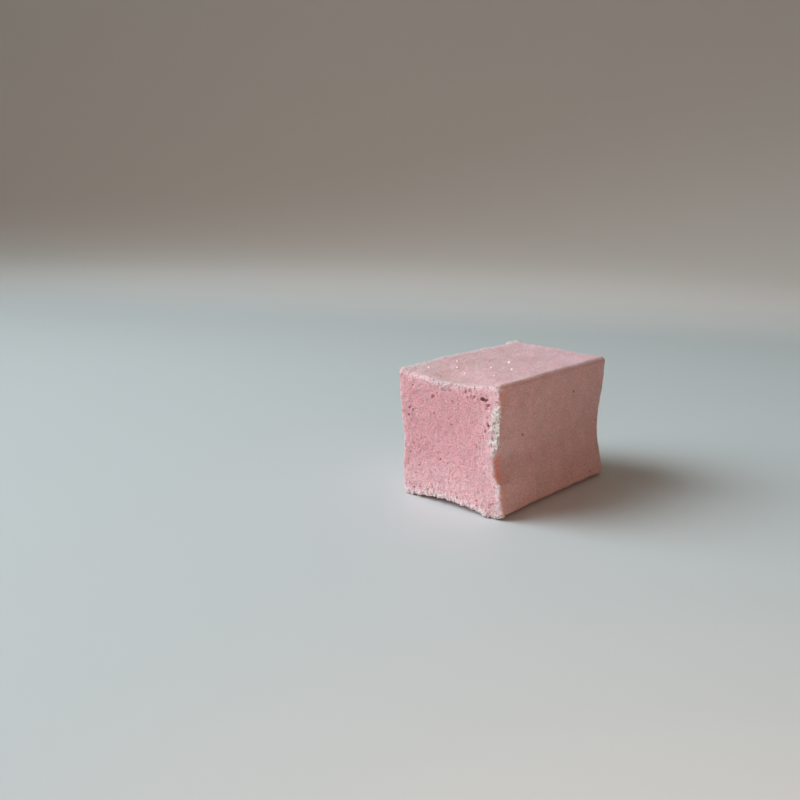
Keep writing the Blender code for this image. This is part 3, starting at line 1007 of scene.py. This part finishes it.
# %% [markdown]
# ## Crumbs along the rim
#
# As the knife went through, it pulled crumbs of dry skin out of the rim and left them
# hanging there. They are too small to model one by one, so a few crumbs are made and copied
# many times. Each copy is turned and sized by chance and set on a point of the bar that is
# looked up by its place in the plain box. The crumbs are joined into one piece, because
# nobody picks them up separately.
#
# Above the crease of the near side they are caked together in a few large white clumps, which
# a voxel remesh melts into one lumpy crust. Elsewhere they are single, small, white or pink.

# %% Model four crumbs
CRUMB_SHAPES = 4


def make_crumb(number):
    """A lumpy crumb, 1 mm across, of a few dozen faces."""
    start_clean()
    bpy.ops.mesh.primitive_ico_sphere_add(subdivisions=2, radius=0.0005)
    crumb = bpy.context.object
    crumb.name = f"crumb_{number}"
    clouds = new_texture(f"crumb_lumps_{number}", "CLOUDS", 0.00035 + 0.00005 * number, 1)
    apply_modifier(crumb, "lumps", "DISPLACE", texture=clouds, strength=0.00085, texture_coords="LOCAL")
    apply_modifier(crumb, "thinning", "DECIMATE", ratio=0.7)
    return crumb


crumb_shapes = [make_crumb(number) for number in range(CRUMB_SHAPES)]
print("a crumb has", [len(crumb.data.polygons) for crumb in crumb_shapes], "faces")

# %% Look up points of the bar by their place in the plain box
CRUMB_REACH = 0.00062  # how far a crumb of 1 mm reaches from its middle, lumps and all

by_the_cut = [index for index, spot in enumerate(spots) if spot.depth < 0.006 and spot.sunk < 0.0001]
lookup = KDTree(len(by_the_cut))
for index in by_the_cut:
    lookup.insert(spots[index].place, index)
lookup.balance()


def bar_point(plain_place):
    """The bar's vertex whose place in the plain box is nearest to the one given."""
    return bar.data.vertices[lookup.find(plain_place)[1]]


def copy_of(shape):
    """A copy of an object, with a mesh of its own."""
    piece = shape.copy()
    piece.data = shape.data.copy()
    bpy.context.scene.collection.objects.link(piece)
    return piece


def set_crumb(vert, size, inside, beside=(0.0, 0.0, 0.0)):
    """Sets a crumb on a vertex of the bar, or beside it, with part of it inside, in mm."""
    crumb = copy_of(chance.choice(crumb_shapes))
    turn = chance_turn(0.0, math.tau)
    flat = Matrix.Diagonal((1.0, chance.uniform(0.6, 1.0), chance.uniform(0.45, 0.9), 1.0))
    place = vert.co + vert.normal * size * (0.5 - inside) * 0.0005 + Vector(beside) * 0.001
    place.z = max(place.z, size * CRUMB_REACH)
    crumb.data.transform(Matrix.Translation(place) @ turn @ flat @ Matrix.Scale(size, 4))
    return crumb


print("points to look up:", len(by_the_cut))

# %% Set the clumps
CLUMP_SIZES = (0.28, 0.62)


def skewed(low, high):
    """A size drawn by chance. Most are small and few are large."""
    return mixed(low, high, chance.random() ** 2)


def plain_rim_place(rim, share, inward):
    """A place on the cut face, by a share along a rim and a distance inwards in mm."""
    inward /= 1000.0
    across = {"near": inward, "far": WIDTH - inward}.get(rim, share * WIDTH)
    up = {"top": HEIGHT - inward, "base": inward}.get(rim, share * HEIGHT)
    return Vector((CUT_X, BOX_LOW.y + across, up))


clump_crumbs = []
for up, high, wide, count in CLUMPS:
    for _ in range(count):
        share = up + chance.uniform(-0.5, 0.5) * high / (HEIGHT * 1000)
        inward = mixed(-0.22, wide, chance.random() ** 1.2)
        place = plain_rim_place("near", share, max(0.0, inward))
        beside = (-chance.uniform(0.0, 0.16), min(0.0, inward) - 0.05, 0.0)
        clump_crumbs.append(set_crumb(bar_point(place), skewed(*CLUMP_SIZES), inside=0.65, beside=beside))
print("crumbs in clumps:", len(clump_crumbs))

# %% Set the single crumbs
# Single lumps by the near rim: share of the height, distance inwards and size in mm
RIM_LUMPS = (
    (0.512, 0.55, 0.34), (0.488, 0.20, 0.46), (0.470, 0.80, 0.30), (0.270, -0.05, 0.44),
    (0.290, 0.30, 0.36), (0.245, -0.04, 0.30), (0.200, -0.03, 0.26), (0.140, -0.04, 0.28),
    (0.020, -0.10, 0.50), (0.048, -0.08, 0.34), (0.085, 0.00, 0.24), (0.010, 0.45, 0.40),
)  # fmt: skip
# Single crumbs: which rim, from which share to which share along it, how many, the
# distance that most lie inwards of the rim, their sizes in mm, and the share of white ones
SINGLES = (
    ("near", (0.86, 0.99), 14, 0.8, (0.12, 0.30), 0.5),
    ("near", (0.46, 0.86), 40, 0.7, (0.12, 0.32), 0.6),
    ("near", (0.28, 0.46), 22, 0.4, (0.12, 0.30), 0.7),
    ("near", (0.02, 0.28), 30, 0.4, (0.14, 0.36), 0.7),
    ("top", (0.30, 0.98), 60, 0.5, (0.14, 0.44), 0.25),
    ("top", (0.03, 0.30), 14, 0.5, (0.12, 0.30), 0.3),
    ("base", (0.02, 0.98), 160, 0.35, (0.20, 0.54), 0.6),
    ("far", (0.05, 0.95), 40, 0.4, (0.12, 0.34), 0.3),
)
# Crumbs on the cut face: share of the width from the near side, share of the height, mm
FACE_CRUMBS = (
    (0.232, 0.976, 0.38), (0.274, 0.928, 0.60), (0.256, 0.897, 0.34), (0.205, 0.950, 0.30),
    (0.330, 0.970, 0.30), (0.200, 0.905, 0.30), (0.120, 0.785, 0.32), (0.470, 0.975, 0.40),
    (0.510, 0.965, 0.46), (0.550, 0.970, 0.36), (0.700, 0.964, 0.32), (0.820, 0.912, 0.36),
    (0.860, 0.841, 0.30), (0.090, 0.568, 0.30), (0.100, 0.496, 0.26), (0.200, 0.045, 0.34),
    (0.120, 0.033, 0.36),
)  # fmt: skip
LOOSE_FACE_CRUMBS = 110
LOOSE_FACE_SIZES = (0.12, 0.24)

white_crumbs = []
pink_crumbs = []
for up, inward, size in RIM_LUMPS:
    place = plain_rim_place("near", up, max(0.0, inward))
    beside = (-0.05, min(0.0, inward), 0.0)
    white_crumbs.append(set_crumb(bar_point(place), size, inside=0.3, beside=beside))
for rim, (low, high), count, spread, sizes, white_share in SINGLES:
    for _ in range(count):
        inward = chance.expovariate(1.0 / spread)
        place = plain_rim_place(rim, chance.uniform(low, high), min(inward, 2.5))
        crumb = set_crumb(bar_point(place), skewed(*sizes), inside=0.55)
        (white_crumbs if chance.random() < white_share else pink_crumbs).append(crumb)
for across, up, size in FACE_CRUMBS:
    place = plain_rim_place("top", across, (1.0 - up) * HEIGHT * 1000)
    pink_crumbs.append(set_crumb(bar_point(place), size, inside=0.4))
for _ in range(LOOSE_FACE_CRUMBS):
    place = plain_rim_place("top", chance.uniform(0.05, 0.95), chance.uniform(0.9, 21.0))
    pink_crumbs.append(set_crumb(bar_point(place), chance.uniform(*LOOSE_FACE_SIZES), inside=0.4))
print("single crumbs:", len(white_crumbs), "white and", len(pink_crumbs), "pink")

# %% Melt the clumps together
CLUMP_VOXEL = 0.000065


def join_as(name, parts):
    """Joins parts into one piece with its name."""
    start_clean()
    for part in parts:
        part.select_set(True)
    bpy.context.view_layer.objects.active = parts[0]
    bpy.ops.object.join()
    bpy.context.object.name = name
    return bpy.context.object


rim_clumps = join_as("rim_clumps", clump_crumbs)
apply_modifier(rim_clumps, "melting", "REMESH", mode="VOXEL", voxel_size=CLUMP_VOXEL)
apply_modifier(rim_clumps, "softening", "SMOOTH", factor=0.5, iterations=7)
clump_grain = new_texture("clump_grain", "CLOUDS", 0.00030, 1)
apply_modifier(rim_clumps, "graining", "DISPLACE", texture=clump_grain, strength=0.00011,
    texture_coords="LOCAL")  # fmt: skip
bpy.ops.object.shade_smooth()
white_rim_crumbs = join_as("white_rim_crumbs", white_crumbs)
rim_crumbs = join_as("rim_crumbs", pink_crumbs)
for piece in (rim_clumps, white_rim_crumbs, rim_crumbs):
    print(piece.name, "has", len(piece.data.polygons), "faces")

# %% [markdown]
# ## A lip of skin at the far corner
#
# Where two dried edges meet at the far top corner, the skin has lifted into a small lip. It
# is thick at the back, where it grows out of the edge, and thin in front, where it runs into
# the top. A block is pinched to that wedge, and its left end is extruded twice and sunk each
# time, so that the lip runs out into the edge. Then it is split, smoothed and roughened.

# %% Model the lip
LIP_LENGTH = 0.0028  # of the thick part, up to its blunt end
LIP_WIDTH = 0.0012
LIP_HEIGHT = 0.0010
LIP_CORNER = Vector((0.01695, 0.00990, 0.02226))

start_clean()
bpy.ops.mesh.primitive_cube_add(size=1.0)
lip = bpy.context.object
lip.name = "skin_lip"
lip.scale = (LIP_LENGTH, LIP_WIDTH, LIP_HEIGHT)
lip.location = LIP_CORNER - Vector((LIP_LENGTH, LIP_WIDTH, LIP_HEIGHT)) / 2
bpy.ops.object.transform_apply(location=True, rotation=True, scale=True)
bpy.ops.object.mode_set(mode="EDIT")
bpy.ops.mesh.select_mode(type="FACE")


def select_lip_face(axis):
    """Selects the face of the lip that looks down an axis."""
    bpy.ops.mesh.select_all(action="DESELECT")
    mesh = bmesh.from_edit_mesh(lip.data)
    for face in mesh.faces:
        face.select_set(face.normal[axis] < -0.9)
    bmesh.update_edit_mesh(lip.data)


select_lip_face(1)
bpy.ops.transform.resize(value=(1.0, 1.0, 0.5))
select_lip_face(0)
bpy.ops.mesh.extrude_region_move(TRANSFORM_OT_translate={"value": (-0.0008, 0.0, -0.00012)})
bpy.ops.mesh.extrude_region_move(TRANSFORM_OT_translate={"value": (-0.0012, 0.0001, -0.00038)})
bpy.ops.transform.resize(value=(1.0, 0.5, 0.4))
bpy.ops.mesh.select_all(action="SELECT")
bpy.ops.mesh.subdivide(number_cuts=6, smoothness=0.0)
bpy.ops.object.mode_set(mode="OBJECT")
apply_modifier(lip, "rounding", "SMOOTH", factor=0.5, iterations=4)
for size, distance in ((0.0012, 0.00022), (0.0004, 0.00014)):
    clouds = new_texture(f"lip_{size}", "CLOUDS", size, 1)
    apply_modifier(lip, "rags", "DISPLACE", texture=clouds, strength=distance, texture_coords="LOCAL")
bpy.ops.object.shade_smooth_by_angle(angle=math.radians(50))
print("lip, in mm:", in_mm(lip.dimensions), "with", len(lip.data.polygons), "faces")

# %% [markdown]
# ## The finish of crumbs and lip
#
# Crumbs are skin and foam with more dry surface for their size, so they look paler than
# either. White and pink crumbs use the same recipe with other colours, and a slow noise lets
# some of each stay darker. The window's light is cool, so even the white is a warm one.

# %% Make the crumb materials
CRUMB_WHITE = (0.820, 0.735, 0.705, 1.0)
CRUMB_CREAM = (0.845, 0.660, 0.650, 1.0)
CRUMB_PALE = (0.910, 0.610, 0.630, 1.0)
CRUMB_PINK = (0.840, 0.460, 0.490, 1.0)
CLUMP_WHITE = (0.760, 0.665, 0.640, 1.0)
CLUMP_CREAM = (0.800, 0.630, 0.615, 1.0)
LIP_WHITE = (0.950, 0.850, 0.840, 1.0)
LIP_CREAM = (0.930, 0.770, 0.770, 1.0)
DUST_LIGHT = (0.940, 0.650, 0.690, 1.0)
DUST_DARK = (0.920, 0.570, 0.610, 1.0)
CRUMB_PIT_SHADE = (0.92, 0.84, 0.84, 1.0)


def make_crumb_finish(name, first, second, scatter_depth=0.0006):
    material, tree, shader = new_material(name)
    fine = add_grain(tree, 4200.0, 3600.0)
    slow = add_grain(tree, 520.0, 900.0)
    share = rerange(tree, (slow, "Grain"), 0.38, 0.62, 0.0, 1.0)
    colour = mix_colours(tree, share, first, second)
    pitted = mix_colours(tree, (fine, "Pits"), colour, CRUMB_PIT_SHADE, "MULTIPLY")
    add_bump(shader, (fine, "Grain"), 0.5, 0.00008)
    finish_surface(shader, pitted, roughness=0.85, shine=0.3,
        scatter=0.5, reach=(1.0, 0.6, 0.55), depth=scatter_depth)  # fmt: skip
    return material


def finish_piece(piece, material):
    """Gives a piece its material and hangs it on the bar's body."""
    piece.data.materials.clear()
    piece.data.materials.append(material)
    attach(piece, "root")


white_crumb = make_crumb_finish("dry_white_crumb", CRUMB_WHITE, CRUMB_CREAM)
pink_crumb = make_crumb_finish("dry_pink_crumb", CRUMB_PALE, CRUMB_PINK)
clump_crumb = make_crumb_finish("caked_white_crumb", CLUMP_WHITE, CLUMP_CREAM, scatter_depth=0.0010)
lip_skin = make_crumb_finish("dry_lip_skin", LIP_WHITE, LIP_CREAM)
dust_crumb = make_crumb_finish("top_dust_crumb", DUST_LIGHT, DUST_DARK, scatter_depth=0.0001)
rim_pieces = (rim_clumps, white_rim_crumbs, rim_crumbs, lip)
for piece, material in zip(rim_pieces, (clump_crumb, white_crumb, pink_crumb, lip_skin)):
    finish_piece(piece, material)
    print(piece.name, "is finished in", material.name)

# %% [markdown]
# ## Sugar
#
# A few sugar grains stuck to the top and glint in the light, among a dusting of crumb. A
# sugar crystal is a small block with cut corners, so each grain is a cube with bevelled
# edges. A crystal glints where one of its faces throws the window's light at the eye. So the
# brightest ones are placed as they lie on this bar, as thin flakes with a face halfway between
# window and camera. The rest are scattered and turned by chance, more thickly towards the
# cut. They and the dust lie flat, half sunk in the skin, and a row of crumbs lines the far edge.

# %% Model one sugar grain, 1 mm across
GRAIN_CORNER = 0.00018

start_clean()
bpy.ops.mesh.primitive_cube_add(size=0.001)
grain_shape = bpy.context.object
bpy.ops.object.mode_set(mode="EDIT")
bpy.ops.mesh.bevel(offset=GRAIN_CORNER, segments=1, affect="EDGES")
bpy.ops.object.mode_set(mode="OBJECT")
print("a grain has", len(grain_shape.data.polygons), "faces")

# %% Say how a small shape is set on the top
FLAKE_THICKNESS = 0.35  # of the placed grains, as a share of their size
LYING_FLAT = 0.6  # of everything else, because it has settled into the sticky skin


def top_point(along, across):
    """The point of the bar's top at a share of its length and width."""
    x = CUT_X + along * LENGTH
    y = BOX_MIDDLE.y + (across - 0.5) * WIDTH
    return bar.ray_cast(Vector((x, y, 0.05)), Vector((0.0, 0.0, -1.0)))[1]


def set_on_top(shape, along, across, size, sunk, facing=None):
    """Sets a copy of a small shape on the top, turned by chance or with a face one way."""
    piece = copy_of(shape)
    turn = chance_turn(0.0, math.tau)
    if facing:
        turn = facing.to_track_quat("Z", "Y").to_matrix().to_4x4() @ Matrix.Rotation(chance.random(), 4, "Z")
    place = top_point(along, across) + Vector((0.0, 0.0, size * (0.0005 - sunk * 0.001)))
    thin = FLAKE_THICKNESS if facing else chance.uniform(0.6, 1.0)
    stretch = Matrix.Diagonal((1.0, chance.uniform(0.7, 1.0), thin, 1.0))
    settled = Matrix.Diagonal((1.0, 1.0, 1.0 if facing else LYING_FLAT, 1.0))
    piece.data.transform(Matrix.Translation(place) @ settled @ turn @ stretch @ Matrix.Scale(size, 4))
    return piece


print("the middle of the top, in mm:", in_mm(top_point(0.5, 0.5)))

# %% Scatter the sugar and the dust
# Share of the length from the cut, share of the width from the near side, size in mm
PLACED_GRAINS = (
    (0.475, 0.450, 0.44), (0.353, 0.285, 0.42), (0.324, 0.454, 0.34), (0.217, 0.669, 0.34),
    (0.309, 0.788, 0.30), (0.124, 0.842, 0.32), (0.166, 0.527, 0.32), (0.200, 0.281, 0.30),
)  # fmt: skip
PLACED_SUNK = 0.30  # the share of a grain that is sunk into the top
LOOSE_GRAINS = 36
LOOSE_SIZES = (0.12, 0.22)
LOOSE_SUNK = 0.45
DUST_CRUMBS = 260
DUST_SIZES = (0.12, 0.30)
DUST_SUNK = 0.54
EDGE_CRUMBS = 30  # along the top edge by the far side
EDGE_SIZES = (0.12, 0.26)
EDGE_SUNK = 0.50

to_window = (window.location - LIGHT_AIM).normalized()
to_camera = (CAMERA_PLACE - LIGHT_AIM).normalized()
halfway = (to_window + to_camera).normalized()
grains = [set_on_top(grain_shape, *row, PLACED_SUNK, halfway) for row in PLACED_GRAINS]
for _ in range(LOOSE_GRAINS):
    along = 0.03 + 0.94 * chance.random() ** 1.3
    size = chance.uniform(*LOOSE_SIZES)
    grains.append(set_on_top(grain_shape, along, chance.uniform(0.06, 0.94), size, LOOSE_SUNK))
dust = []
for _ in range(DUST_CRUMBS):
    along = 0.03 + 0.94 * chance.random() ** 1.5
    size = chance.uniform(*DUST_SIZES)
    shape = chance.choice(crumb_shapes)
    dust.append(set_on_top(shape, along, chance.uniform(0.06, 0.94), size, DUST_SUNK))
edge_dust = []
for _ in range(EDGE_CRUMBS):
    across = 0.97 - chance.expovariate(60.0)
    size = chance.uniform(*EDGE_SIZES)
    along = chance.uniform(0.10, 0.97)
    edge_dust.append(set_on_top(chance.choice(crumb_shapes), along, across, size, EDGE_SUNK))
bpy.data.objects.remove(grain_shape)
for shape in crumb_shapes:
    bpy.data.objects.remove(shape)
sugar_grains = join_as("sugar_grains", grains)
top_dust = join_as("top_dust", dust)
edge_crumbs = join_as("edge_crumbs", edge_dust)
for piece in (sugar_grains, top_dust, edge_crumbs):
    print(piece.name, "has", len(piece.data.polygons), "faces")

# %% Give them their finish
SUGAR_WHITE = (1.0, 0.88, 0.90, 1.0)
SUGAR_SHADE = (1.0, 0.78, 0.81, 1.0)
SUGAR_TINT = (1.0, 0.86, 0.88, 1.0)


def make_sugar():
    material, tree, shader = new_material("sugar")
    grain = add_grain(tree, 5200.0, 2600.0)
    colour = mix_colours(tree, (grain, "Grain"), SUGAR_WHITE, SUGAR_SHADE)
    finish_surface(shader, colour, roughness=0.40, shine=0.5,
        scatter=0.1, reach=(1.0, 0.9, 0.9), depth=0.0001)  # fmt: skip
    feed(shader, {"Specular Tint": SUGAR_TINT})
    return material


top_pieces = (sugar_grains, top_dust, edge_crumbs)
for piece, material in zip(top_pieces, (make_sugar(), dust_crumb, white_crumb)):
    finish_piece(piece, material)
    print(piece.name, "is finished in", material.name)

# %% [markdown]
# ## The floor's finish
#
# The floor only has to be pale, matt and quiet. A very slow noise keeps it from looking
# like a computer's flat grey.

# %% Make the floor material
FLOOR_DARK = (0.695, 0.749, 0.767, 1.0)
FLOOR_PALE = (0.730, 0.785, 0.805, 1.0)


def make_floor_finish():
    material, tree, shader = new_material("pale_floor")
    slow = add_grain(tree, 6.0, 3.0)
    colour = mix_colours(tree, (slow, "Grain"), FLOOR_DARK, FLOOR_PALE)
    feed(shader, {"Base Color": colour, "Roughness": 0.6})
    return material


floor.data.materials.clear()
floor.data.materials.append(make_floor_finish())
print("floor is finished in", floor.data.materials[0].name)

# %% [markdown]
# ## The sizes
#
# The dressed bar has to fill the same box as the solid it stands for. Both boxes are kept here,
# and how far the dressed bar reaches beyond the solid is printed.

# %% Compare the sizes and finish
low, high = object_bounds()
sizes = {
    "cad": [list(cad_low), list(cad_high)],
    "visual": [list(low), list(high)],
}
for axis in range(3):
    print(
        "XYZ"[axis],
        "low", round(1000 * (low[axis] - cad_low[axis]), 3),
        "high", round(1000 * (high[axis] - cad_high[axis]), 3),
        "mm beyond the solid",
    )  # fmt: skip
